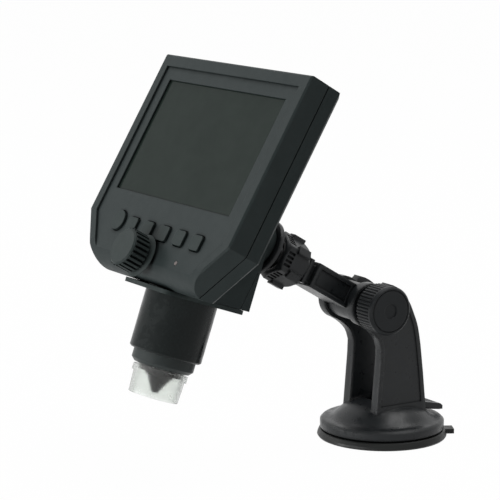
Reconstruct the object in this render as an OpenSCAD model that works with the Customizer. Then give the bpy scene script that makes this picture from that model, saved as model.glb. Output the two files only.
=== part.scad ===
// Portable digital microscope with a flat display, on a suction-cup stand.
// Frame: +Z up, origin at the middle of the suction face, the display faces -Y, millimetres.

/* [Display head] */
// Width of the head
head_w = 118.5; // [112:0.5:126]
// Depth of the slab behind the display
head_d = 17.8; // [16.5:0.1:20]
// Height of the viewing window
window_h = 54; // [50:0.5:56]
// Width of the viewing window
window_w = 95; // [88:0.5:98]
// Case above the window
top_margin = 11.8; // [10:0.1:15]
// Case between the window and the start of the lower corners
key_margin = 12.7; // [10:0.1:16]
// Height of the cut lower corners
corner_h = 25; // [22:0.1:28]
// Width of the cut lower corners
corner_w = 21; // [16:0.1:24]
// Wall of the case
case_wall = 2.2; // [1.8:0.1:2.6]
// Raised rim around the front panel
rim_w = 5.7; // [4:0.1:7]
// Depth of the front panel below the rim
panel_recess = 0.9; // [0.5:0.1:1.2]
// Depth of the window below the rim
window_recess = 1.8; // [1.5:0.1:2]
// Distance from the rim to the line where the shells part
parting_y = 9.4; // [8.8:0.1:10.5]
// Backward lean of the head
head_tilt = 30.75; // [20:0.25:40]

/* [Keys] */
// Width of a square key
key_w = 7.8; // [7:0.1:9]
// Height of a square key
key_h = 6.8; // [6:0.1:8]
// Distance from key to key
key_pitch = 13.5; // [12:0.1:14]
// Height of a key above the panel
key_proud = 1.1; // [1:0.1:2]
// Diameter of the round key
power_d = 9.2; // [8:0.1:10]
// Travel of every key
key_travel = 0.4; // [0.3:0.05:0.5]

/* [Optics] */
// Outer diameter of the barrel
barrel_d = 32; // [30:0.5:34]
// Length of the barrel below the head
barrel_len = 25.8; // [22:0.1:32]
// Lean of the barrel away from the display plane
barrel_tilt = 11.5; // [8:0.5:14]
// Outer diameter of the end collar
collar_d = 27.6; // [26:0.1:29]
// Outer diameter of the clear hood at its flange
hood_d = 24.4; // [23:0.1:25.5]
// Length of the clear hood
hood_len = 12.2; // [10:0.1:16]
// Diameter of the focus knob
focus_d = 17.2; // [15:0.1:19]
// Teeth on the focus pinion
pinion_teeth = 12; // [12:1:14]
// Module of the focus gear
gear_module = 0.6; // [0.5:0.05:0.6]

/* [Ball joint] */
// Distance from the elbow to the middle of the ball
ball_reach = 45.8; // [42:0.1:56]
// Diameter of the ball
ball_d = 13; // [12:0.1:14]
// Distance across the flats of the collar nut
nut_af = 20; // [19.5:0.1:22]
// Length of the collar nut
nut_len = 14.5; // [13:0.1:16]
// Diameter of the mount disc
disc_d = 26.2; // [22:0.1:30]
// Thickness of the mount disc
disc_t = 3; // [2:0.1:4]
// Diameter of the camera screw
screw_d = 6.35; // [6.35:0.01:6.35]

/* [Arm and elbow] */
// Height of the elbow above the table
elbow_z = 65; // [60:0.5:75]
// Distance of the elbow in front of the middle of the cup
elbow_y = 16.6; // [12:0.1:20]
// Width of the arm
arm_w = 16.8; // [15:0.1:18]
// Height of the arm
arm_h = 11.6; // [10:0.1:12]
// Thickness of each leg
leg_t = 4.9; // [4:0.1:6]
// Radius of each leg's round head
leg_head_r = 10; // [9.5:0.1:11]
// Diameter of the pivot bolt
bolt_d = 6; // [5:0.1:6.5]
// Diameter of the elbow knob
knob_d = 22; // [20:0.1:24]
// Thickness of the elbow knob
knob_t = 11.5; // [9:0.1:13]

/* [Suction base] */
// Diameter of the rubber cup
cup_d = 59.8; // [56:0.1:64]
// Thickness of the rubber cup at its edge
cup_t = 3.4; // [3:0.1:4]
// Diameter of the rigid flange
flange_d = 57.2; // [54:0.1:58]
// Top of the flange above the table
flange_top = 8.5; // [8:0.1:9]
// Top of the dome above the table
dome_top = 17.5; // [16.5:0.1:18.5]
// Lift of the stem when the lever is locked
stem_lift = 1.6; // [1.2:0.1:1.6]
// Width of the lock lever
lever_w = 15.8; // [13:0.1:16]

/* [Fits] */
// Radial clearance of turning and sliding fits
run_fit = 0.05; // [0.03:0.01:0.08]
// Gap between faces of parts that move past each other
face_gap = 0.3; // [0.25:0.05:0.4]
// Gap around each key in its opening
key_gap = 0.35; // [0.3:0.05:0.45]

/* [Hidden] */
$fn = 64;
tiny = 0.01;

// ---- head outline, in the head's own frame: x right, y into the case, z up the face ----
top_z = window_h / 2 + top_margin;
corner_top_z = -window_h / 2 - key_margin;
corner_bot_z = corner_top_z - corner_h;
side_x = head_w / 2;
foot_x = side_x - corner_w;
nose_r = 11;
edge_bevel = 0.8;
rear_bevel = 2;

// ---- barrel frame: origin on the axis at the head's flat underside, z up along the axis ----
axis_y = 26.8;
axis_z = corner_bot_z + 6;
barrel_r = barrel_d / 2;
plate_t = 2;
plate_front = 20;
plate_rear = 21.6;
box_x = barrel_r + case_wall + 0.3;
box_rear = barrel_r + case_wall + 5;
box_top_z = 20;
box_shoulder_z = -6;
seam_step = 0.06;
cover_y = 44.8;
cover_top_z = -37;
barrel_wall = 1.6;
guide_r = 12.4;
guide_top = 17;
guide_wall = 1.4;
collar_len = 5.7;
collar_r = collar_d / 2;
carrier_r = 9.6;
carrier_top = 6;
carrier_wall = 1.2;
collar_z = -barrel_len - plate_t;
hood_z = collar_z - collar_len - 0.9;
hood_r = hood_d / 2;
hood_wall = 1.2;
hood_flange = 2.7;
hood_neck_z = collar_z - 3.2;
cone_top = hood_z - 1.6;
cone_flange_t = 1.2;
cone_len = 7.2;
cone_steps = 6;

// ---- keys ----
key_z = corner_top_z - 1.8;
key_first_x = -19.6;
power_x = -31.6;
key_back_y = panel_recess + case_wall + 0.85;
board_y = 12.2;
board_t = 1.2;
key_board_y = 8.9;
light_x = 26.2;
light_z = corner_bot_z + 12.7;
light_r = 0.9;

// ---- focus drive ----
focus_z = corner_bot_z + 11.1;
focus_r = focus_d / 2;
focus_face_y = -10.7;
focus_skirt_y = -0.5;
shaft_r = 1.5;
focus_boss_r = 4.5;
pitch_r = pinion_teeth * gear_module / 2;
gear_pitch = PI * gear_module;
tooth_h = gear_module * 1.7;
pinion_y = 12.6;
pinion_w = 2.2;
rack_t = 2;
rack_teeth = 16;
rack_low = -22;
rack_len = 32;
rack_front = 12.9;
rack_back = 8.7;

// ---- display stack ----
lcd_gap = 0.1;
lens_t = 1.2;
lens_lap = 2.5;
lcd_w = window_w + 6;
lcd_h = window_h + 11;
lcd_t = 2.4;
lcd_y = window_recess + lens_t + lcd_gap;
tray_y = lcd_y + lcd_t + lcd_gap;
tray_t = 1.6;
screw_boss_r = 3.2;
screw_x = side_x - 5.2;
screw_top_z = top_z - 5.2;
screw_low_z = corner_top_z + 1;

// ---- mount, ball and arm, along the arm's own axis from the elbow ----
mount_z = -24.2;
nut_rear = ball_reach - 9.3;
nut_front = nut_rear + nut_len;
disc_rear = nut_front + 4;
disc_front = disc_rear + disc_t;
boss_face = disc_front + face_gap;
boss_r = 10.5;
screw_len = 6;
head_reach = boss_face + 52;
boss_y = head_reach - boss_face;
insert_r = 4.6;
insert_len = 7;
ball_r = ball_d / 2;
stud_neck_r = 3.4;
socket_r = 8;
socket_end = ball_reach + 2.4;
cup_from = 3.4;
cup_len = 5.2;
hub_r = 8.6;
neck_from = 31;
neck_to = 34.3;
rail_h = 1.9;
web_cut = 1.3;

// ---- elbow ----
gap_half = arm_w / 2 + 0.2;
leg_out = gap_half + leg_t;
bolt_r = bolt_d / 2;
washer_r = 7.6;
washer_t = 0.8;
knob_r = knob_d / 2;
knob_back = leg_out + 4;
knob_face = knob_back + knob_t;
knob_hub_r = 6;
knob_core = 9.4;
elbow_nut_af = 10;
elbow_nut_t = 4;

// ---- base ----
cup_r = cup_d / 2;
flange_r = flange_d / 2;
flange_z = cup_t + 0.5;
dome_r = 23.5;
lever_pin_y = 1;
lever_pin_z = 12.2;
lever_pin_r = 1.5;
cam_r = 4.4;
lever_tip_y = flange_r + 0.4;
lever_tip_z = 12.7;
lever_t = 2.7;
lever_root_z = dome_top + 0.7;
pocket_half = lever_w / 2 + 0.4;
stem_r = 2;
stem_head_r = 6;
stem_head_t = 1.6;
stem_eye_w = 4;
stem_eye_low = -3.8;
stem_eye_top = 4.2;
tab_az = 62.6;

// ---- placing ----
module on_arm() { translate([0, -elbow_y, elbow_z]) rotate([-head_tilt, 0, 0]) children(); }
module on_head() { on_arm() translate([0, -head_reach, -mount_z]) children(); }
module on_barrel() { translate([0, axis_y, axis_z]) rotate([barrel_tilt, 0, 0]) children(); }
module along_y(y, len, r, fn = 64) { translate([0, y, 0]) rotate([-90, 0, 0]) cylinder(h = len, r = r, $fn = fn); }
module along_x(x, len, r, fn = 64) { translate([x, 0, 0]) rotate([0, 90, 0]) cylinder(h = len, r = r, $fn = fn); }
module slab(w, d, h, y = 0) { translate([-w / 2, y, -h / 2]) cube([w, d, h]); }
module profile_x(half) { translate([-half, 0, 0]) rotate([90, 0, 90]) linear_extrude(2 * half) children(); }
module profile_y(y, len) { translate([0, y + len, 0]) rotate([90, 0, 0]) linear_extrude(len) children(); }

module round_rect(w, h, r) {
  square([w - 2 * r, h], center = true);
  square([w, h - 2 * r], center = true);
  for (sx = [-1, 1], sz = [-1, 1]) translate([sx * (w / 2 - r), sz * (h / 2 - r)]) circle(r, $fn = 32);
}

// ---- head case ----
// Outline of the face, drawn in by a constant margin, open or closed at the foot
module face_outline(side = 0, slant = 0, top = 0, foot = 12) {
  cut = slant * sqrt(pow(corner_w, 2) + pow(corner_h, 2)) / corner_h;
  x1 = side_x - side;
  x2 = foot_x - cut;
  z1 = corner_top_z - (cut - side) * corner_h / corner_w;
  polygon([[x1, top_z - top], [x1, z1], [x2, corner_bot_z], [x2, corner_bot_z - foot],
    [-x2, corner_bot_z - foot], [-x2, corner_bot_z], [-x1, z1], [-x1, top_z - top]]);
}

// Underside of the case in side view: a plane square to the barrel, with a rounded nose in front.
// It runs past the outline's top, so that only the outline sets the height
function under_z(y) = axis_z + (y - axis_y) * tan(barrel_tilt);
module side_section(depth, inset = 0) {
  z0 = inset / cos(barrel_tilt);
  r = nose_r - inset;
  cz = under_z(nose_r) + nose_r / cos(barrel_tilt);
  translate([nose_r, cz]) circle(r, $fn = 96);
  polygon([[inset, top_z + 5], [inset, cz], [nose_r, cz], [nose_r + r * sin(barrel_tilt), cz - r * cos(barrel_tilt)],
    [depth, under_z(depth) + z0], [depth, top_z + 5]]);
}

// Corners of the outline, right side from the top down; the last lies just below the underside
function side_corners() = [[side_x, top_z], [side_x, corner_top_z], [foot_x, corner_bot_z]];

// Square bar along an edge of the outline, turned to cut a bevel
module edge_bar(p, q, y, size, over = 3, under = 3) {
  run = q - p;
  translate([p[0], y, p[1]]) rotate([0, -atan2(run[1], run[0]), 0]) translate([-over, 0, 0]) rotate([45, 0, 0])
    translate([0, -size / sqrt(2), -size / sqrt(2)]) cube([norm(run) + over + under, size * sqrt(2), size * sqrt(2)]);
}

module slab_outer() {
  c = side_corners();
  difference() {
    intersection() {
      profile_y(0, head_d) face_outline();
      profile_x(side_x + 5) side_section(head_d + 2);
    }
    for (face = [[0, edge_bevel], [head_d, rear_bevel]]) {
      edge_bar([-side_x, top_z], [side_x, top_z], face[0], face[1]);
      // the slanted corner's bevel is a little finer, so that no two bevels meet in one point
      for (sx = [-1, 1], i = [0:1]) edge_bar([sx * c[i][0], c[i][1]], [sx * c[i + 1][0], c[i + 1][1]], face[0],
        i == 1 ? 0.95 * face[1] : face[1]);
    }
  }
}

module slab_hollow() {
  intersection() {
    profile_y(case_wall + panel_recess, head_d - 2 * case_wall - panel_recess)
      face_outline(side = case_wall, slant = case_wall, top = case_wall);
    profile_x(side_x) side_section(head_d + 2, case_wall + panel_recess);
  }
}

// Rear box that carries the barrel, in side view
function box_y(z, inset = 0) = axis_y + (box_rear - inset) / cos(barrel_tilt) - (z - axis_z) * tan(barrel_tilt);
module box_section(inset = 0) {
  lift = inset / cos(barrel_tilt) + seam_step;
  low_y = axis_y + (box_rear - inset) * cos(barrel_tilt) - inset * sin(barrel_tilt);
  polygon([[head_d - 4, under_z(head_d - 4) + lift], [low_y, under_z(low_y) + lift],
    [box_y(box_shoulder_z, inset), box_shoulder_z - inset], [head_d, box_top_z - 2 * inset], [head_d - 4, box_top_z - 2 * inset]]);
}

module cover_zone(grow = 0) {
  translate([-side_x, cover_y - grow, -90]) cube([head_w, 30, 90 + cover_top_z + grow]);
}

module front_shell() {
  color([0.24, 0.26, 0.26]) on_head() difference() {
    intersection() {
      slab_outer();
      translate([-head_w, -5, -100]) cube([2 * head_w, parting_y + 5, 200]);
    }
    profile_y(-1, 1 + panel_recess) face_outline(side = rim_w, slant = 4, top = rim_w);
    difference() {
      slab_hollow();
      front_bosses();
    }
    window_opening();
    key_openings();
    translate([0, 0, focus_z]) along_y(-1, 9, shaft_r + run_fit);
    translate([light_x, 0, light_z]) along_y(0, 9, light_r + run_fit);
    case_screw_holes();
    side_sockets(0.2);
  }
  color([0.24, 0.26, 0.26]) on_head() difference() {
    focus_boss();
    translate([0, 0, focus_z]) along_y(-1, 12, shaft_r + run_fit);
  }
}

// Screw bosses, cut back where the display panel needs the room
module front_bosses() {
  difference() {
    for (p = screw_spots()) translate([p[0], 0, p[1]]) along_y(0, head_d, screw_boss_r);
    slab(lcd_w + 0.2, head_d + 2, lcd_h + 0.2, -1);
  }
}

// The window's opening, bevelled towards the front
module window_opening() {
  slab(window_w, 4, window_h);
  slab(window_w + 2 * lens_lap, 3, window_h + 2 * lens_lap, window_recess);
  for (s = [-1, 1]) {
    edge_bar([-window_w / 2, s * window_h / 2], [window_w / 2, s * window_h / 2], panel_recess, 0.5, over = 0.5, under = 0.5);
    edge_bar([s * window_w / 2, -window_h / 2], [s * window_w / 2, window_h / 2], panel_recess, 0.5, over = 0.5, under = 0.5);
  }
}

function key_x(i) = key_first_x + i * key_pitch;
module key_openings() {
  for (i = [0:4]) translate([key_x(i), 0, key_z])
    profile_y(0, key_back_y + 1) round_rect(key_w + 2 * key_gap, key_h + 2 * key_gap, 1.3 + key_gap);
  translate([power_x, 0, key_z + 0.4]) along_y(0, key_back_y + 1, power_d / 2 + key_gap);
}

module focus_boss() {
  translate([0, 0, focus_z]) along_y(panel_recess + 0.2, 8, focus_boss_r);
}

function screw_spots() = [[-screw_x, screw_top_z], [screw_x, screw_top_z], [-screw_x, screw_low_z], [screw_x, screw_low_z]];
module case_screw_holes() {
  for (p = screw_spots()) translate([p[0], 0, p[1]]) along_y(parting_y - 5, 5.5, 1.1);
}

module rear_shell() {
  color([0.2, 0.22, 0.22]) on_head() {
    difference() {
      union() {
        intersection() {
          slab_outer();
          translate([-head_w, parting_y, -100]) cube([2 * head_w, head_d, 200]);
        }
        profile_x(box_x) box_section();
        intersection() {
          translate([0, 0, mount_z]) along_y(head_d, boss_y - head_d, boss_r);
          translate([-side_x, head_d, -100]) cube([head_w, 60, 200]);
        }
      }
      parting_groove();
      difference() {
        slab_hollow();
        for (p = screw_spots()) translate([p[0], 0, p[1]]) along_y(parting_y - 1, head_d, screw_boss_r);
      }
      difference() {
        profile_x(box_x - case_wall) box_section(case_wall);
        translate([0, 0, mount_z]) along_y(boss_y - insert_len - 3, 30, boss_r);
      }
      translate([0, 0, mount_z]) along_y(boss_y - insert_len, insert_len + 1, insert_r);
      translate([0, 0, mount_z]) along_y(boss_y - insert_len - 4, 6, screw_d / 2 + 0.4);
      cover_zone();
      on_barrel() translate([0, 0, -8]) cylinder(h = 8 + case_wall + 1.2, r = barrel_r + run_fit);
      for (p = screw_spots()) translate([p[0], 0, p[1]]) {
        along_y(parting_y - 1, head_d, 1.6);
        along_y(head_d - 2.6, 3, 2.9);
      }
      side_sockets(0.2);
      speaker_slots();
    }
  }
}

module parting_groove() {
  profile_y(parting_y - tiny, 0.45) difference() {
    face_outline(side = -2, slant = -2, top = -2, foot = 16);
    face_outline(side = 0.4, slant = 0.4, top = 0.4);
  }
}

// Slots in the back for the heat of the board
module speaker_slots() {
  for (i = [-3:3]) translate([i * 4, 0, top_z - 9]) slab(1.6, 6, 8, head_d - 3);
}

module rear_cover() {
  color([0.17, 0.19, 0.19]) on_head() difference() {
    intersection() {
      profile_x(box_x) box_section();
      translate([0, 0.15, -0.2]) cover_zone();
    }
    translate([0, 0, mount_z]) along_y(0, 90, boss_r + 0.4);
    profile_x(box_x - case_wall) box_section(case_wall);
    for (i = [0:3]) translate([0, cover_y + 5.6 - 0.55 * i, -50.5 + 2.4 * i]) slab(14, 2, 1);
  }
}

module bottom_plate() {
  color([0.12, 0.13, 0.13]) on_head() on_barrel() translate([0, 0, -plate_t]) difference() {
    linear_extrude(plate_t - 0.1) translate([0, (plate_rear - plate_front) / 2])
      round_rect(2 * box_x, plate_front + plate_rear, 3);
    translate([0, 0, -1]) cylinder(h = 6, r = barrel_r + run_fit);
    for (sx = [-1, 1], sy = [-1, 1]) translate([sx * (box_x - 3.2), sy * (plate_front - 3.2), -1]) cylinder(h = 6, r = 1.1);
  }
}

module window_lens() {
  color([0.3, 0.34, 0.32, 0.6]) on_head()
    slab(window_w + 2 * lens_lap - 0.2, lens_t, window_h + 2 * lens_lap - 0.2, window_recess);
}

module lcd_panel() {
  color([0.33, 0.38, 0.34]) on_head() slab(lcd_w, lcd_t, lcd_h, lcd_y);
}

module lcd_tray() {
  color([0.7, 0.72, 0.74]) on_head() difference() {
    slab(lcd_w, tray_t, lcd_h, tray_y);
    slab(lcd_w - 1.2, tray_t, lcd_h - 1.2, tray_y - 0.5);
    for (sx = [-1, 1]) translate([sx * (lcd_w / 2 - 6), 0, 0]) slab(5, 9, 5, tray_y);
  }
}

board_side_gap = 9.75;
board_w = head_w - 2 * board_side_gap;
board_h = window_h - 6;
board_z = 4;
module main_board() {
  color([0.05, 0.32, 0.2]) on_head() {
    translate([0, 0, board_z]) slab(board_w, board_t, board_h, board_y);
    translate([-22, 0, 10]) slab(16, 1.2, 16, board_y + board_t);
    translate([6, 0, 14]) slab(10, 1, 12, board_y + board_t);
    for (i = [0:4]) translate([20 + 5 * i, 0, 4]) slab(3, 1, 5, board_y + board_t);
  }
}

module battery() {
  color([0.75, 0.75, 0.78]) on_head() translate([0, 0, -8]) slab(31, 6.5, 18, head_d + 2);
}

module key_board() {
  color([0.05, 0.32, 0.2]) on_head() difference() {
    translate([0.5, 0, key_z + 0.5]) slab(82, 1, 12, key_board_y);
    translate([0, 0, focus_z]) along_y(0, 30, focus_boss_r + 0.5);
  }
}

module key_switches() {
  color([0.1, 0.1, 0.1]) on_head() {
    for (i = [0:4]) translate([key_x(i), 0, key_z]) switch_body();
    translate([power_x, 0, key_z + 0.4]) switch_body();
  }
}
module switch_body() {
  difference() {
    slab(6, 1.2, 6, key_board_y - 1.2 - 0.05);
    along_y(key_board_y - 2, 1.1, 2);
  }
}

module side_sockets(grow = 0) {
  translate([-side_x - 1, 10.7 - grow, 12 - grow]) cube([8, 2.6 + 2 * grow, 7.6 + 2 * grow]);
  translate([-side_x - 1, 10.9 - grow, -8 - grow]) cube([8, 2 + 2 * grow, 12 + 2 * grow]);
}

module usb_socket() {
  color([0.7, 0.7, 0.72]) on_head() difference() {
    translate([-side_x + 0.6, 10.7, 12]) cube([board_side_gap - 0.75, 2.6, 7.6]);
    translate([-side_x, 11.1, 12.4]) cube([board_side_gap - 2.75, 1.8, 6.8]);
  }
}

module card_socket() {
  len = board_side_gap - 0.9;
  color([0.7, 0.7, 0.72]) on_head() difference() {
    translate([-side_x + 0.6, 10.9, -8]) cube([len, 2, 12]);
    translate([-side_x, 11.4, -7.5]) cube([len - 0.4, 1, 11]);
  }
}

module status_light() {
  color([0.55, 0.35, 0.2]) on_head() translate([light_x, 0, light_z]) along_y(panel_recess - 0.1, 5, light_r);
}

module case_screws() {
  color([0.5, 0.5, 0.5]) on_head() for (p = screw_spots()) translate([p[0], 0, p[1]]) difference() {
    union() {
      along_y(parting_y - 4.5, head_d - parting_y + 1.9, 1.0);
      along_y(head_d - 2.6, 1.8, 2.5);
    }
    slab(3.4, 1, 0.7, head_d - 1.4);
    slab(0.7, 1, 3.4, head_d - 1.4);
  }
}

module mount_insert() {
  color([0.75, 0.6, 0.3]) on_head() translate([0, 0, mount_z]) difference() {
    along_y(boss_y - insert_len, insert_len, insert_r);
    along_y(boss_y - insert_len - 1, insert_len + 2, screw_d / 2 + run_fit);
  }
}

// ---- barrel and optics ----
module barrel() {
  color([0.09, 0.095, 0.1]) on_head() on_barrel() difference() {
    union() {
      rotate_extrude() polygon([[guide_r - 0.2, collar_z], [barrel_r - 0.7, collar_z], [barrel_r, collar_z + 0.7],
        [barrel_r, 1], [guide_r, 1], [guide_r, guide_top], [guide_r - 0.2, guide_top]]);
      cylinder(h = guide_top, r = guide_r);
      translate([0, 0, collar_z + 1]) cylinder(h = -collar_z, r = barrel_r - 0.5);
    }
    translate([0, 0, collar_z - 1]) cylinder(h = -collar_z - 2, r = barrel_r - barrel_wall);
    translate([0, 0, -60]) cylinder(h = 120, r = guide_r - guide_wall);
    translate([0, 0, guide_top - 1.2]) cylinder(h = 5, r = guide_r - 0.6);
    drive_window();
  }
}

// Slot along the guide tube for the rack, and the opening for the pinion
module drive_window() {
  translate([pitch_r - tooth_h - 0.6, -rack_front - 0.7, collar_z - 1])
    cube([tooth_h + rack_t + 1.2, rack_front - rack_back + 1.2, 60]);
  rotate([-barrel_tilt, 0, 0]) translate([0, -axis_y, -axis_z])
    translate([-pitch_r - 1.6, 5, focus_z - pitch_r - 1.6]) cube([2 * pitch_r + 3.2, 12.6, 2 * pitch_r + 3.2]);
}

module end_collar() {
  color([0.08, 0.085, 0.09]) on_head() on_barrel() translate([0, 0, collar_z]) difference() {
    rotate_extrude() polygon([[0, 4], [barrel_r - barrel_wall - run_fit, 4], [barrel_r - barrel_wall - run_fit, 0],
      [collar_r, 0], [collar_r, -collar_len + 1.6], [collar_r - 1.6, -collar_len], [0, -collar_len]]);
    translate([0, 0, -10]) cylinder(h = 20, r = carrier_r + run_fit);
    translate([0, 0, -collar_len - 1]) cylinder(h = 3.5, r = hood_r - 1.4);
    translate([0, 0, 1.5]) cylinder(h = 5, r = barrel_r - barrel_wall - 1.6);
  }
}

module clear_hood() {
  neck_r = hood_r - 1.4 - 0.1;
  color([0.9, 0.93, 0.93, 0.35]) on_head() on_barrel() difference() {
    union() {
      translate([0, 0, hood_z - hood_flange]) cylinder(h = hood_flange, r = hood_r);
      translate([0, 0, hood_z - 0.1]) cylinder(h = 2.3, r = neck_r);
      rotate_extrude() polygon([[0, hood_z - 1], [hood_r - 0.7, hood_z - 1], [hood_r - 1.2, hood_z - hood_len], [0, hood_z - hood_len]]);
    }
    translate([0, 0, hood_z - 1]) cylinder(h = 5, r = neck_r - 1);
    translate([0, 0, hood_z - hood_len - 1]) cylinder(h = hood_len + 0.5, r = hood_r - 1.2 - hood_wall);
  }
}

module led_ring() {
  color([0.85, 0.87, 0.8]) on_head() on_barrel() translate([0, 0, hood_z + 2.35]) {
    difference() {
      cylinder(h = 1, r = hood_r - 1.5);
      translate([0, 0, -1]) cylinder(h = 3, r = carrier_r + 0.3);
    }
  }
}

module sensor_board() {
  color([0.05, 0.32, 0.2]) on_head() on_barrel() translate([0, 0, guide_top - 1.1]) cylinder(h = 1, r = guide_r - 0.7);
}

module image_sensor() {
  color([0.2, 0.2, 0.25]) on_head() on_barrel() translate([-4, -4, guide_top - 2.5]) cube([8, 8, 1.35]);
}

// Lens carrier: slides along the barrel on the rack
module lens_carrier() {
  color([0.08, 0.08, 0.08]) on_head() on_barrel() difference() {
    translate([0, 0, cone_top]) cylinder(h = carrier_top - cone_top, r = carrier_r);
    translate([0, 0, cone_top + 2]) cylinder(h = 60, r = carrier_r - carrier_wall);
    translate([0, 0, cone_top - 9]) cylinder(h = 20, r = 4.2);
  }
}

// Teeth run along the shaft while the bar runs along the barrel
module focus_rack() {
  color([0.8, 0.8, 0.75]) on_head() difference() {
   intersection() {
    on_barrel() translate([pitch_r - tooth_h, -rack_front, rack_low]) cube([tooth_h + rack_t, rack_front - rack_back, rack_len]);
    union() {
      translate([pitch_r + gear_module, 0, focus_z - 40]) cube([rack_t + 2, 40, 60]);
      for (i = [0:rack_teeth - 1]) translate([pitch_r, 0, focus_z + (i - rack_teeth / 2) * gear_pitch])
        rotate([-90, 0, 0]) linear_extrude(40) rack_tooth();
    }
   }
   on_barrel() translate([0, 0, -60]) cylinder(h = 120, r = carrier_r);
  }
}
module rack_tooth() {
  polygon([[gear_module * 1.1, -gear_pitch * 0.37], [gear_module * 1.1, gear_pitch * 0.37], [-gear_module * 0.8, gear_pitch * 0.09],
    [-gear_module * 0.8, -gear_pitch * 0.09]]);
}

module lens_cone() {
  step = cone_len / cone_steps;
  color([0.1, 0.1, 0.1]) on_head() on_barrel() translate([0, 0, cone_top]) difference() {
    union() {
      translate([0, 0, -cone_flange_t]) cylinder(h = cone_flange_t, r = 6.4);
      cylinder(h = 2, r = 4.2 - run_fit);
      for (i = [0:cone_steps - 1]) translate([0, 0, -cone_flange_t - step * (i + 1)])
        cylinder(h = step, r1 = 5.2 - 4.1 * (i + 1) / cone_steps, r2 = 5.6 - 4.1 * i / cone_steps);
    }
    translate([0, 0, -20]) cylinder(h = 30, r = 0.7);
    translate([0, 0, -2.2]) cylinder(h = 10, r = 2.6);
  }
}

module objective_lens() {
  color([0.7, 0.8, 0.85, 0.5]) on_head() on_barrel() translate([0, 0, cone_top - 2.1]) cylinder(h = 2.6, r = 2.5);
}

module focus_shaft() {
  color([0.7, 0.7, 0.7]) on_head() translate([0, 0, focus_z]) along_y(focus_skirt_y - 6, pinion_y + pinion_w + 0.2 - focus_skirt_y + 6, shaft_r);
}

module focus_pinion() {
  ro = pitch_r + gear_module * 0.8;
  ri = pitch_r - gear_module * 0.95;
  color([0.8, 0.8, 0.75]) on_head() translate([0, 0, focus_z]) difference() {
    profile_y(pinion_y, pinion_w) polygon([for (i = [0:pinion_teeth - 1]) let (a = (i + 0.5) * 360 / pinion_teeth, w = 360 / pinion_teeth)
      each [[ri * cos(a - 0.33 * w), ri * sin(a - 0.33 * w)], [ro * cos(a - 0.1 * w), ro * sin(a - 0.1 * w)],
        [ro * cos(a + 0.1 * w), ro * sin(a + 0.1 * w)], [ri * cos(a + 0.33 * w), ri * sin(a + 0.33 * w)]]]);
    along_y(pinion_y - 1, pinion_w + 2, shaft_r);
  }
}

// Ribbed wheel: a toothed outline as deep as the ribs
module ribbed(r, depth, ribs, fill = 0.5) {
  w = 360 / ribs;
  polygon([for (i = [0:ribs - 1]) let (a = i * w) each [
    [r * cos(a), r * sin(a)], [r * cos(a + fill * w), r * sin(a + fill * w)],
    [(r - depth) * cos(a + (fill + 0.12) * w), (r - depth) * sin(a + (fill + 0.12) * w)],
    [(r - depth) * cos(a + 0.88 * w), (r - depth) * sin(a + 0.88 * w)]]]);
}

module focus_knob() {
  rib_from = focus_face_y + 0.9;
  rib_to = focus_skirt_y - 2.4;
  color([0.2, 0.22, 0.22]) on_head() translate([0, 0, focus_z]) difference() {
    union() {
      rotate([-90, 0, 0]) rotate_extrude() polygon([[0, focus_face_y], [focus_r - 0.9, focus_face_y],
        [focus_r - 0.2, focus_face_y + 0.7], [focus_r - 0.2, rib_from + 0.3], [focus_r - 1.2, rib_from + 0.3],
        [focus_r - 1.2, rib_to + 0.6], [focus_r + 1.2, focus_skirt_y], [0, focus_skirt_y]]);
      profile_y(rib_from, rib_to - rib_from) ribbed(focus_r + 0.3, 1.2, 24);
    }
    along_y(focus_skirt_y - 6, 10, shaft_r);
  }
}

// ---- keys ----
module square_key(i) {
  on_head() translate([key_x(i), 0, key_z]) {
    difference() {
      profile_y(panel_recess - key_proud, key_back_y - panel_recess + key_proud - 0.4) round_rect(key_w, key_h, 1.3);
      slab(key_w - 2, 6, key_h - 2, panel_recess + 0.4);
    }
    along_y(panel_recess, key_board_y - 1.25 - key_travel - 0.3 - panel_recess, 1.6, 24);
    key_flange() round_rect(key_w + 2.4, key_h + 2.4, 1.3);
  }
}
module key_flange() {
  difference() {
    profile_y(key_back_y - 0.8, 0.8) children();
    slab(key_w - 2, 6, key_h - 2, panel_recess + 0.4);
  }
}
module menu_key() { color([0.22, 0.24, 0.24]) square_key(0); }
module up_key() { color([0.22, 0.24, 0.24]) square_key(1); }
module down_key() { color([0.22, 0.24, 0.24]) square_key(2); }
module ok_key() { color([0.22, 0.24, 0.24]) square_key(3); }
module record_key() { color([0.22, 0.24, 0.24]) square_key(4); }

module power_key() {
  color([0.22, 0.24, 0.24]) on_head() translate([power_x, 0, key_z + 0.4]) {
    difference() {
      along_y(panel_recess - key_proud, key_back_y - panel_recess + key_proud - 0.4, power_d / 2);
      along_y(panel_recess + 0.4, 6, power_d / 2 - 1);
    }
    along_y(panel_recess, key_board_y - 1.25 - key_travel - 0.3 - panel_recess, 1.6, 24);
    key_flange() circle(power_d / 2 + 1.2);
  }
}

// ---- ball joint; on the arm, y runs back from the head and -y is towards it ----
module ball_stud() {
  color([0.1, 0.1, 0.1]) on_arm() difference() {
    union() {
      translate([0, -ball_reach, 0]) sphere(r = ball_r, $fn = 64);
      along_y(-disc_rear, disc_rear - ball_reach, stud_neck_r);
    }
    along_y(-disc_rear - 1, 6, screw_d / 2 - 1);
  }
}

module mount_disc() {
  color([0.16, 0.17, 0.17]) on_arm() difference() {
    translate([0, -disc_front, 0]) rotate([-90, 0, 0]) rotate_extrude($fn = 96) polygon([[0, 0], [disc_d / 2 - 0.5, 0],
      [disc_d / 2, 0.5], [disc_d / 2, disc_t - 1], [disc_d / 2 - 1.6, disc_t], [0, disc_t]]);
    along_y(-disc_front - 1, disc_t + 2, screw_d / 2 - 1);
  }
}

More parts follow.
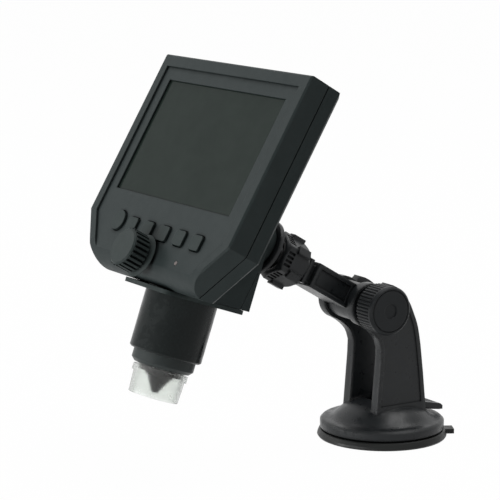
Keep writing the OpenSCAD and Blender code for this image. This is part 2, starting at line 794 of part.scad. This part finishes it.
module camera_screw() {
  color([0.6, 0.6, 0.62]) on_arm() {
    along_y(-disc_front - screw_len, screw_len, screw_d / 2);
    along_y(-disc_front, disc_t + 4, screw_d / 2 - 1);
  }
}

module friction_cup() {
  seat = (ball_r + run_fit) * sqrt(2);
  color([0.3, 0.3, 0.3]) on_arm() translate([0, -ball_reach, 0]) difference() {
    along_y(cup_from, cup_len, ball_r - 0.1);
    translate([0, cup_from - 1, 0]) rotate([-90, 0, 0])
      cylinder(h = seat - cup_from - 0.5, r1 = seat - cup_from + 1, r2 = 1.5);
    along_y(0, 20, 1.5);
  }
}

// Arm: round hub, I-shaped bar, waist and the socket that the collar nut closes
module arm() {
  bar_from = hub_r - 1;
  color([0.1, 0.105, 0.11]) on_arm() difference() {
    union() {
      along_x(-arm_w / 2, arm_w, hub_r);
      slab(arm_w, neck_from - bar_from, arm_h, -neck_from);
      slab(arm_w - 5, neck_to - neck_from + 1, arm_h - 4, -neck_to - 0.5);
      slab(arm_w, nut_rear - 0.3 - neck_to, arm_h, -nut_rear + 0.3);
      along_y(-socket_end, socket_end - nut_rear + 2, socket_r);
    }
    for (sx = [-1, 1]) translate([sx * arm_w / 2, -neck_from + 2.2, 0])
      translate([-web_cut, 0, -arm_h / 2 + rail_h]) cube([2 * web_cut, neck_from - hub_r - 4, arm_h - 2 * rail_h]);
    translate([0, -ball_reach, 0]) sphere(r = ball_r + run_fit, $fn = 64);
    along_y(-ball_reach, cup_from + cup_len + 0.1, ball_r);
    along_y(-socket_end - 1, 5, ball_r - 0.6);
    for (a = [0, 90]) rotate([0, a, 0]) translate([-0.7, -socket_end - 1, -10]) cube([1.4, 7, 20]);
    along_x(-20, 40, bolt_r + run_fit);
    for (sx = [-1, 1]) along_x(sx > 0 ? arm_w / 2 - washer_t / 2 : -arm_w / 2 - 1, washer_t / 2 + 1, washer_r + 0.2);
  }
}

module collar_nut() {
  corner_r = nut_af / sqrt(3);
  slot_pitch = 1.9;
  color([0.1, 0.105, 0.11]) on_arm() difference() {
    union() {
      intersection() {
        translate([0, -nut_front, 0]) rotate([-90, 0, 0]) rotate([0, 0, 30]) cylinder(h = nut_len, r = corner_r, $fn = 6);
        translate([0, -nut_front, 0]) rotate([-90, 0, 0]) rotate_extrude() polygon([[0, 0], [nut_af / 2 - 0.6, 0],
          [corner_r - 0.1, 1.6], [corner_r - 0.1, nut_len - 3.4], [nut_af / 2, nut_len - 0.6], [nut_af / 2 - 1, nut_len], [0, nut_len]]);
      }
      // grips on the corners
      for (a = [30:60:330]) rotate([0, a, 0]) translate([corner_r - 2, -nut_rear - 9, -1.9]) cube([2.6, 6.6, 3.8]);
    }
    along_y(-socket_end - 0.4, 40, socket_r + run_fit);
    along_y(-nut_front - 1, nut_front - socket_end + 2, ball_r - 0.6);
    translate([0, -nut_front - tiny, 0]) rotate([-90, 0, 0]) cylinder(h = nut_front - socket_end, r1 = ball_r + 1.4, r2 = ball_r - 0.6);
    // short grooves in each flat, towards the ball
    for (a = [0:60:300], i = [-1.5:1.5]) rotate([0, a, 0])
      translate([nut_af / 2 - 0.8, -nut_front + 1.3, slot_pitch * i - 0.55]) cube([2, 3.6, 1.1]);
  }
}

module elbow_washers() {
  color([0.4, 0.4, 0.4]) at_elbow() for (sx = [-1, 1]) difference() {
    along_x(sx > 0 ? arm_w / 2 - washer_t / 2 + 0.05 : -arm_w / 2 - washer_t / 2 - 0.05, washer_t, washer_r);
    along_x(-20, 40, bolt_r + run_fit);
  }
}

module at_elbow() { translate([0, -elbow_y, elbow_z]) children(); }

module pivot_bolt() {
  color([0.65, 0.65, 0.66]) at_elbow() {
    along_x(-leg_out - 1, leg_out + knob_back + knob_core - 1, bolt_r);
  }
}

module elbow_nut() {
  color([0.6, 0.6, 0.6]) at_elbow() difference() {
    translate([-leg_out - 0.6, 0, 0]) rotate([0, 90, 0]) cylinder(h = elbow_nut_t, r = elbow_nut_af / sqrt(3), $fn = 6);
    along_x(-leg_out - 2, 10, bolt_r);
  }
}

module elbow_knob() {
  color([0.17, 0.18, 0.19]) at_elbow() difference() {
    union() {
      along_x(leg_out + face_gap, 5, knob_hub_r);
      translate([knob_back, 0, 0]) rotate([0, 90, 0]) rotate_extrude($fn = 96) polygon([[0, 0], [knob_r - 1.6, 0], [knob_r - 0.7, 0.9],
        [knob_r - 0.7, knob_t - 2.2], [knob_r, knob_t - 1.8], [knob_r, knob_t - 0.9], [knob_r - 0.8, knob_t], [0, knob_t]]);
      translate([knob_back + 0.5, 0, 0]) rotate([90, 0, 90]) linear_extrude(knob_t - 2.4) ribbed(knob_r - 0.1, 0.5, 44);
    }
    along_x(knob_face - 0.6, 2, 3.3);
    translate([knob_face - 0.5, 0, 0]) rotate([0, 90, 0]) difference() {
      cylinder(h = 2, r = knob_r - 1.4, $fn = 96);
      translate([0, 0, -1]) cylinder(h = 4, r = knob_r - 1.9, $fn = 96);
    }
    along_x(0, knob_back + knob_core, bolt_r + run_fit);
  }
}

// ---- fork and base ----
// Points of a smooth curve through p
function bend(p, n = 3) = concat([for (i = [0:len(p) - 2], k = [0:n - 1])
  let (a = p[max(i - 1, 0)], b = p[i], c = p[i + 1], d = p[min(i + 2, len(p) - 1)], u = k / n)
  0.5 * (2 * b + (c - a) * u + (2 * a - 5 * b + 4 * c - d) * pow(u, 2) + (3 * b - a - 3 * c + d) * pow(u, 3))], [p[len(p) - 1]]);
leg_front = concat([[-12.9, 8], [-11.9, 20], [-10.4, 38]], bend([[-10.2, 44], [-12, 49], [-16, 53], [-20.2, 55.7]]));
leg_rear = concat([[15.6, 8], [14.6, 17.3], [13.2, 30.7]],
  bend([[11.6, 43.6], [10, 52.2], [7.7, 58.5], [4.6, 65], [0, 70.4], [-6.6, 73.8], [-16.6, 75]]));

// Side view of a leg; the front sweeps forward into the round head
module leg_outline(inset = 0) {
  shift = 16.6 - elbow_y;
  function fit(p, side) = [p[0] + side * inset + shift * max(0, p[1] - 44) / 21, p[1]];
  front = [for (p = leg_front) fit(p, 1)];
  rear = [for (i = [len(leg_rear) - 1:-1:0]) fit(leg_rear[i], -1)];
  polygon(concat(front, [[-elbow_y, elbow_z]], [for (p = rear) if (p[0] > -10) p]));
}

module fork_base() {
  color([0.1, 0.105, 0.11]) difference() {
    union() {
      rotate_extrude($fn = 96) polygon([[0, flange_z], [flange_r - 0.5, flange_z], [flange_r, flange_z + 0.5], [flange_r, flange_top - 0.9],
        [flange_r - 0.9, flange_top], [dome_r + 0.6, flange_top + 0.4], [dome_r - 1.2, flange_top + 1.4], [19.4, 12.6], [16.5, 14.6],
        [13, 16.1], [8, 17.2], [0, dome_top]]);
      for (sx = [-1, 1]) leg(sx);
    }
    // bell inside the dome, over the stem
    translate([0, 0, flange_z - 1]) cylinder(h = 5.4, r = 20);
    translate([0, 0, flange_z]) cylinder(h = 6.6, r = 13);
    lever_pocket();
    at_elbow() {
      along_x(-40, 80, bolt_r + run_fit);
      translate([-leg_out - 1, 0, 0]) rotate([0, 90, 0]) cylinder(h = elbow_nut_t + 0.5, r = elbow_nut_af / sqrt(3) + 0.1, $fn = 6);
      for (sx = [-1, 1]) along_x(sx > 0 ? gap_half - 1 : -gap_half - washer_t / 2, 1 + washer_t / 2, washer_r + 0.3);
      for (sx = [-1, 1]) translate([sx * leg_out, 0, 0]) difference() {
        along_x(-0.5, 1, leg_head_r - 1.2);
        along_x(-1, 2, knob_hub_r + 0.6);
      }
    }
    for (sx = [-1, 1]) translate([sx * leg_out, 0, 0]) leg_panel();
    lever_pin_space(run_fit);
  }
}

module leg(sx) {
  translate([sx > 0 ? gap_half : -leg_out, 0, 0]) {
    rotate([90, 0, 90]) linear_extrude(leg_t) leg_outline();
    translate([0, -elbow_y, elbow_z]) rotate([0, 90, 0]) cylinder(h = leg_t, r = leg_head_r);
  }
}

module leg_panel() {
  translate([-0.5, 0, 0]) rotate([90, 0, 90]) linear_extrude(1) difference() {
    intersection() {
      leg_outline(2.1);
      translate([-60, 17]) square([120, 60]);
    }
    translate([-elbow_y, elbow_z]) circle(leg_head_r + 2.4);
  }
}

// Room for the lever between the legs, down to just under it
module lever_pocket() {
  profile_x(pocket_half) polygon([[-6, 30], [-6, lever_pin_z + 1.5], [-3, lever_pin_z - 2.5], [8, lever_pin_z - 2.5],
    [lever_tip_y + 3, lever_tip_z - lever_t - 1.1], [lever_tip_y + 3, 30]]);
  profile_x(4.6) polygon([[-5.4, 0], [-5.4, 30], [7, 30], [7, 0]]);
}

module lever_pin_space(grow = 0) {
  translate([0, lever_pin_y, lever_pin_z]) along_x(-pocket_half - 4, 2 * pocket_half + 8, lever_pin_r + grow);
}

module lever_pin() {
  color([0.65, 0.65, 0.66]) translate([0, lever_pin_y, lever_pin_z])
    along_x(-pocket_half - 3.8, 2 * pocket_half + 7.6, lever_pin_r);
}

module lock_lever() {
  color([0.13, 0.14, 0.14]) difference() {
    union() {
      translate([0, lever_pin_y, lever_pin_z]) along_x(-4.3, 8.6, cam_r);
      profile_x(lever_w / 2) polygon([[lever_pin_y - 1, lever_pin_z + 2.4], [lever_pin_y - 1, lever_root_z - 0.6],
        [lever_pin_y + 1.4, lever_root_z], [lever_tip_y - 1.2, lever_tip_z], [lever_tip_y, lever_tip_z - 1], [lever_tip_y, lever_tip_z - lever_t],
        [lever_tip_y - 2, lever_tip_z - lever_t], [lever_pin_y + 9, lever_pin_z + 0.6], [lever_pin_y + 4, lever_pin_z + 0.4]]);
    }
    translate([0, lever_pin_y, lever_pin_z]) along_x(-12, 24, lever_pin_r + run_fit);
    translate([-stem_eye_w / 2 - face_gap, lever_pin_y - 8, lever_pin_z - 12])
      cube([stem_eye_w + 2 * face_gap, 12.5, 12 + stem_eye_top + 0.5]);
    for (i = [0:3]) translate([0, lever_tip_y - 3.2 - 1.8 * i, lever_tip_z + 0.75 + 0.37 * i]) rotate([-12, 0, 0]) slab(lever_w - 4, 0.9, 1.1, 0);
  }
}

// Rubber cup: thick disc with a pull tab and a boss around the stem's head
module suction_cup() {
  color([0.07, 0.07, 0.075]) difference() {
    union() {
      rotate_extrude($fn = 96) polygon([[0, 0], [cup_r - 0.5, 0], [cup_r, 0.7], [cup_r - 0.2, 1.6], [cup_r - 0.9, cup_t - 0.3],
        [cup_r - 1.4, cup_t], [19, cup_t], [17.6, cup_t + 1.2], [9.6, cup_t + 1.2], [8.8, cup_t + 3], [0, cup_t + 3]]);
      rotate([0, 0, tab_az]) translate([cup_r - 3, -3.2, 0.5]) cube([6.4, 6.4, 2.2]);
    }
    translate([0, 0, 1.4]) cylinder(h = stem_lift + stem_head_t + 0.5, r = stem_head_r + 0.3);
    translate([0, 0, 2]) cylinder(h = 20, r = stem_r + run_fit);
  }
}

module pull_stem() {
  head_z = 1.7 + stem_lift;
  slot_r = lever_pin_r + 0.1;
  color([0.6, 0.6, 0.62]) difference() {
    union() {
      translate([0, 0, head_z]) cylinder(h = stem_head_t, r = stem_head_r);
      translate([0, 0, head_z]) cylinder(h = lever_pin_z + stem_eye_low + 1 - head_z, r = stem_r);
      translate([-stem_eye_w / 2, lever_pin_y - 3, lever_pin_z + stem_eye_low]) cube([stem_eye_w, 6, stem_eye_top - stem_eye_low]);
    }
    translate([0, lever_pin_y, lever_pin_z]) {
      for (z = [0, stem_lift]) translate([0, 0, z]) along_x(-6, 12, slot_r, 32);
      translate([-6, -slot_r, 0]) cube([12, 2 * slot_r, stem_lift]);
    }
  }
}

front_shell();
rear_shell();
rear_cover();
bottom_plate();
window_lens();
lcd_panel();
lcd_tray();
main_board();
battery();
key_board();
key_switches();
usb_socket();
card_socket();
status_light();
case_screws();
mount_insert();
barrel();
end_collar();
clear_hood();
led_ring();
sensor_board();
image_sensor();
power_key();
menu_key();
up_key();
down_key();
ok_key();
record_key();
focus_knob();
focus_shaft();
focus_pinion();
lens_carrier();
focus_rack();
lens_cone();
objective_lens();
ball_stud();
mount_disc();
camera_screw();
friction_cup();
arm();
collar_nut();
elbow_washers();
pivot_bolt();
elbow_knob();
elbow_nut();
fork_base();
suction_cup();
pull_stem();
lock_lever();
lever_pin();
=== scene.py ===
import bpy
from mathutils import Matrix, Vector

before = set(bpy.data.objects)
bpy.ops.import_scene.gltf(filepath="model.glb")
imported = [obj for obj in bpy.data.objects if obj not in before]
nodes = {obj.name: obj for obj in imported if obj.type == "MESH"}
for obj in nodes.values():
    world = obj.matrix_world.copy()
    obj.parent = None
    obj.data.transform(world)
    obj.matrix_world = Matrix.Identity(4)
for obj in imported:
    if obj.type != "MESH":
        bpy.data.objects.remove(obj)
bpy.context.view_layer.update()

# ---------------------------------------------------------------- materials
BUMP_HEIGHT = 0.0004       # height of the surface grain at full strength, in metres
ROUGH_SCALE = 240          # fineness of the patches in which the roughness varies
NOISE_SPAN = (0.3, 0.7)    # values of a noise that a ramp is spread over
# painted shade in grooves and gaps: ambient occlusion darkens the colour there and lowers the
# specular level
OPEN_SPAN = (0.3, 1.0)     # share of open sky from a groove's bottom to a free face
PAINTED_SHADE_SPEC = 0.1          # share of the specular level that a groove's bottom keeps
PAINTED_SHADE_SAMPLES = 6
EDGE_SAMPLES = 4
PALE_LIFT = 0.002          # added to the paler of the two tints


def make_material(name, base, rough, spec=0.5, grain=(1400, 0.05), tint=(90, 0.12), rough_var=0.08,
                  metal=0.0, transmission=0.0, ior=1.45, edge=0.0, painted_shade_width=0.0):
    """Moulded or turned surface. The colour drifts a little and the roughness varies.

    grain    scale and strength of the fine relief in the normal
    tint     scale and share of the drift in colour
    edge     radius of the edges that are rounded in the shading, in metres
    painted_shade_width  width up to which grooves and gaps get painted shade, in metres
    """
    material = bpy.data.materials.new(name)
    material.use_nodes = True
    nt = material.node_tree
    shader = nt.nodes["Principled BSDF"]
    coords = nt.nodes.new("ShaderNodeTexCoord").outputs["Object"]

    def noise(scale, detail):
        n = nt.nodes.new("ShaderNodeTexNoise")
        n.inputs["Scale"].default_value = scale
        n.inputs["Detail"].default_value = detail
        n.inputs["Roughness"].default_value = 0.6
        nt.links.new(coords, n.inputs["Vector"])
        return n.outputs["Fac"]

    def ramp(value, low, high, span=NOISE_SPAN):
        r = nt.nodes.new("ShaderNodeMapRange")
        r.inputs["From Min"].default_value, r.inputs["From Max"].default_value = span
        r.inputs["To Min"].default_value = low
        r.inputs["To Max"].default_value = high
        nt.links.new(value, r.inputs["Value"])
        return r.outputs["Result"]

    drift = noise(tint[0], 4.0)
    mix = nt.nodes.new("ShaderNodeMix")
    mix.data_type = "RGBA"
    mix.inputs["A"].default_value = [c * (1 - tint[1]) for c in base] + [1]
    mix.inputs["B"].default_value = [min(1, c * (1 + tint[1]) + PALE_LIFT) for c in base] + [1]
    nt.links.new(ramp(drift, 0, 1), mix.inputs["Factor"])
    colour = mix.outputs["Result"]
    shader.inputs["Specular IOR Level"].default_value = spec
    # painted shade: ambient occlusion darkens the colour in grooves, gaps, recesses and between
    # parts, and lowers the specular level there
    if painted_shade_width:
        occlusion_shade = nt.nodes.new("ShaderNodeAmbientOcclusion")
        occlusion_shade.samples = PAINTED_SHADE_SAMPLES
        occlusion_shade.inputs["Distance"].default_value = painted_shade_width
        nt.links.new(colour, occlusion_shade.inputs["Color"])
        colour = occlusion_shade.outputs["Color"]
        level = ramp(occlusion_shade.outputs["AO"], PAINTED_SHADE_SPEC * spec, spec, OPEN_SPAN)
        nt.links.new(level, shader.inputs["Specular IOR Level"])
    nt.links.new(colour, shader.inputs["Base Color"])
    roughness = ramp(noise(ROUGH_SCALE, 2.0), rough - rough_var, rough + rough_var)
    nt.links.new(roughness, shader.inputs["Roughness"])
    bump = nt.nodes.new("ShaderNodeBump")
    bump.inputs["Strength"].default_value = grain[1]
    bump.inputs["Distance"].default_value = BUMP_HEIGHT
    nt.links.new(noise(grain[0], 2.0), bump.inputs["Height"])
    nt.links.new(bump.outputs["Normal"], shader.inputs["Normal"])
    if edge:
        rounded = nt.nodes.new("ShaderNodeBevel")
        rounded.samples = EDGE_SAMPLES
        rounded.inputs["Radius"].default_value = edge
        nt.links.new(rounded.outputs["Normal"], bump.inputs["Normal"])
    shader.inputs["Metallic"].default_value = metal
    shader.inputs["IOR"].default_value = ior
    shader.inputs["Transmission Weight"].default_value = transmission
    return material


# base colours that several materials share
CASE = (0.0235, 0.0305, 0.0305)
BLACK = (0.0098, 0.0115, 0.0128)

# settings that several materials share
# the case settings include painted shade in grooves and gaps
CASE_SKIN = dict(grain=(1500, 0.1), tint=(90, 0.03), rough_var=0.03, painted_shade_width=0.002)
STAND_SKIN = dict(grain=(1100, 0.05), tint=(90, 0.06))
METAL = dict(grain=(900, 0.05), metal=1.0)
SMALL_PART = dict(grain=(500, 0.05))

MATS = {
    # the head
    "case": make_material("case_front_grain", CASE, 0.46, 0.09, edge=0.0006, **CASE_SKIN),
    "rear": make_material("case_rear_grain", CASE, 0.48, 0.08, edge=0.0003, **CASE_SKIN),
    "window": make_material("window_tinted", (0.0125, 0.0195, 0.0162), 0.16, 0.08,
                            (300, 0.0), (60, 0.05), rough_var=0.02),
    "display": make_material("display_dark", (0.022, 0.055, 0.036), 0.35, 0.15,
                             (300, 0.0), (40, 0.04), rough_var=0.02),
    "metal": make_material("plated_steel", (0.45, 0.45, 0.46), 0.3, **METAL),
    "brass": make_material("turned_brass", (0.55, 0.38, 0.14), 0.3, **METAL),
    "board": make_material("coated_board", (0.01, 0.1, 0.045), 0.4, **SMALL_PART),
    # the optics
    "barrel": make_material("barrel_satin", (0.006, 0.009, 0.0088), 0.26, 0.16,
                            (900, 0.03), edge=0.0004),
    "collar": make_material("collar_satin", (0.028, 0.034, 0.0335), 0.36, 0.16,
                            (1100, 0.05), edge=0.0004),
    "hood": make_material("hood_frosted", (0.84, 0.865, 0.84), 0.25, 0.4,
                          (700, 0.04), (60, 0.02), rough_var=0.03, transmission=1.0, ior=1.4),
    "leds": make_material("light_ring", (0.8, 0.82, 0.75), 0.4, **SMALL_PART),
    # small parts, keys and the focus drive
    "light": make_material("status_lens", (0.11, 0.09, 0.085), 0.3, 0.3, (500, 0.02)),
    "chip": make_material("chip_black", (0.02, 0.02, 0.022), 0.3, 0.5, (600, 0.05)),
    # the key and knob materials paint shade into the gaps around the keys and the focus parts
    "key": make_material("key_rubber", (0.023, 0.031, 0.03), 0.5, 0.1,
                         (1300, 0.1), (90, 0.04), rough_var=0.03, edge=0.0005, painted_shade_width=0.0035),
    "knob": make_material("knob_moulded", (0.025, 0.033, 0.032), 0.48, 0.11,
                          (1300, 0.12), (90, 0.04), rough_var=0.03, edge=0.0003, painted_shade_width=0.002),
    "gear": make_material("acetal", (0.6, 0.6, 0.55), 0.4, 0.5, (600, 0.05)),
    "carrier": make_material("carrier_matt", (0.012, 0.012, 0.012), 0.5, 0.2, (900, 0.1)),
    "lens": make_material("lens_coated", (0.5, 0.6, 0.7), 0.05, 0.5, (300, 0.01),
                          transmission=0.9),
    # the stand
    # the stand and fork materials paint shade into their grooves and joints
    "stand": make_material("stand_satin", BLACK, 0.33, 0.3, edge=0.0011, painted_shade_width=0.0015,
                           **STAND_SKIN),
    "fork": make_material("fork_satin", BLACK, 0.33, 0.3, edge=0.0026, painted_shade_width=0.0015,
                          **STAND_SKIN),
    "grip": make_material("grip_satin", BLACK, 0.42, 0.2, edge=0.0008, **STAND_SKIN),
    "rubber": make_material("cup_rubber", (0.0085, 0.0095, 0.009), 0.4, 0.25,
                            (700, 0.06), edge=0.0004),
    "cell": make_material("cell_foil", (0.6, 0.6, 0.62), 0.35, metal=0.8, **SMALL_PART),
}

# which nodes each material covers
MATERIAL_NODES = {
    "case": "front_shell",
    "rear": "rear_shell rear_cover",
    "window": "window_lens",
    "display": "lcd_panel",
    "metal": "lcd_tray usb_socket card_socket case_screws focus_shaft camera_screw pivot_bolt"
             " elbow_nut pull_stem lever_pin",
    "brass": "mount_insert",
    "board": "main_board key_board sensor_board",
    "barrel": "barrel",
    "collar": "end_collar",
    "hood": "clear_hood",
    "leds": "led_ring",
    "light": "status_light",
    "chip": "key_switches image_sensor",
    "key": "power_key menu_key up_key down_key ok_key record_key",
    "knob": "bottom_plate focus_knob friction_cup elbow_washers",
    "gear": "focus_pinion focus_rack",
    "carrier": "lens_carrier lens_cone",
    "lens": "objective_lens",
    "stand": "ball_stud mount_disc arm collar_nut lock_lever",
    "fork": "fork_base",
    "grip": "elbow_knob",
    "rubber": "suction_cup",
    "cell": "battery",
}
for key, names in MATERIAL_NODES.items():
    for name in names.split():
        nodes[name].data.materials.clear()
        nodes[name].data.materials.append(MATS[key])


# ---------------------------------------------------------------- camera
def aim(direction):
    """Rotation that points a camera or lamp along a direction."""
    return Vector(direction).to_track_quat("-Z", "Y").to_euler()


bpy.context.scene.view_settings.view_transform = "Standard"
cam = bpy.data.objects.new("camera", bpy.data.cameras.new("camera"))
bpy.context.scene.collection.objects.link(cam)
cam.location = (0.7889, -0.5684, 0.2617)
cam.rotation_euler = aim((-0.8329, 0.5241, -0.1775))
cam.data.lens = 155.8
cam.data.sensor_width = 36
cam.data.clip_start = 0.05
cam.data.clip_end = 20
bpy.context.scene.camera = cam

# ---------------------------------------------------------------- floor and world
FLOOR_HALF = 6.0     # half the floor's side, in metres
FLOOR_WHITE = 0.985  # share of plain white in the floor as the camera sees it, the rest is shaded
WORLD_LIGHT = 0.15   # strength of the world as a light on the object


def seen_directly(nt):
    """1 for camera, glossy and transmission rays, else 0."""
    path = nt.nodes.new("ShaderNodeLightPath")
    either = nt.nodes.new("ShaderNodeMath")
    either.operation = "MAXIMUM"
    any_of = nt.nodes.new("ShaderNodeMath")
    any_of.operation = "MAXIMUM"
    nt.links.new(path.outputs["Is Camera Ray"], either.inputs[0])
    nt.links.new(path.outputs["Is Glossy Ray"], either.inputs[1])
    nt.links.new(either.outputs[0], any_of.inputs[0])
    nt.links.new(path.outputs["Is Transmission Ray"], any_of.inputs[1])
    return any_of.outputs[0]


floor_mesh = bpy.data.meshes.new("floor")
corners = [(-FLOOR_HALF, -FLOOR_HALF, 0), (FLOOR_HALF, -FLOOR_HALF, 0),
           (FLOOR_HALF, FLOOR_HALF, 0), (-FLOOR_HALF, FLOOR_HALF, 0)]
floor_mesh.from_pydata(corners, [], [(0, 1, 2, 3)])
floor = bpy.data.objects.new("floor", floor_mesh)
bpy.context.scene.collection.objects.link(floor)

floor_mat = bpy.data.materials.new("floor_pale")
floor_mat.use_nodes = True
ft = floor_mat.node_tree
ft.nodes.remove(ft.nodes["Principled BSDF"])
shaded = ft.nodes.new("ShaderNodeBsdfDiffuse")
shaded.inputs["Color"].default_value = (0.9, 0.9, 0.9, 1)
plain = ft.nodes.new("ShaderNodeEmission")
plain.inputs["Color"].default_value = (1, 1, 1, 1)
share = ft.nodes.new("ShaderNodeMath")
share.operation = "MULTIPLY"
ft.links.new(seen_directly(ft), share.inputs[0])
share.inputs[1].default_value = FLOOR_WHITE
blend = ft.nodes.new("ShaderNodeMixShader")
ft.links.new(share.outputs[0], blend.inputs[0])
ft.links.new(shaded.outputs[0], blend.inputs[1])
ft.links.new(plain.outputs[0], blend.inputs[2])
ft.links.new(blend.outputs[0], ft.nodes["Material Output"].inputs["Surface"])
floor.data.materials.append(floor_mat)

world = bpy.data.worlds.new("world")
bpy.context.scene.world = world
world.use_nodes = True
wt = world.node_tree
sky = wt.nodes["Background"]
sky.inputs["Color"].default_value = (1, 1, 1, 1)
strength = wt.nodes.new("ShaderNodeMapRange")
wt.links.new(seen_directly(wt), strength.inputs["Value"])
strength.inputs["To Min"].default_value = WORLD_LIGHT
strength.inputs["To Max"].default_value = 1.0
wt.links.new(strength.outputs["Result"], sky.inputs["Strength"])


# ---------------------------------------------------------------- lamps
def lamp(name, loc, target, size, power):
    """Rectangular area lamp at loc that faces target. Sizes in metres, power in watts."""
    light = bpy.data.lights.new(name, "AREA")
    light.shape = "RECTANGLE"
    light.size, light.size_y = size
    light.energy = power
    o = bpy.data.objects.new(name, light)
    o.location = loc
    o.rotation_euler = aim(Vector(target) - Vector(loc))
    bpy.context.scene.collection.objects.link(o)


lamp("key", (-1.3, -1.2, 1.0), (0, -0.06, 0.1), (0.6, 0.6), 6.5)
lamp("top", (0.1, 0.3, 1.6), (0, -0.05, 0.08), (1.2, 1.2), 17)
lamp("low", (-0.1, -1.1, 0.06), (0, -0.06, 0.12), (1.0, 0.12), 8)
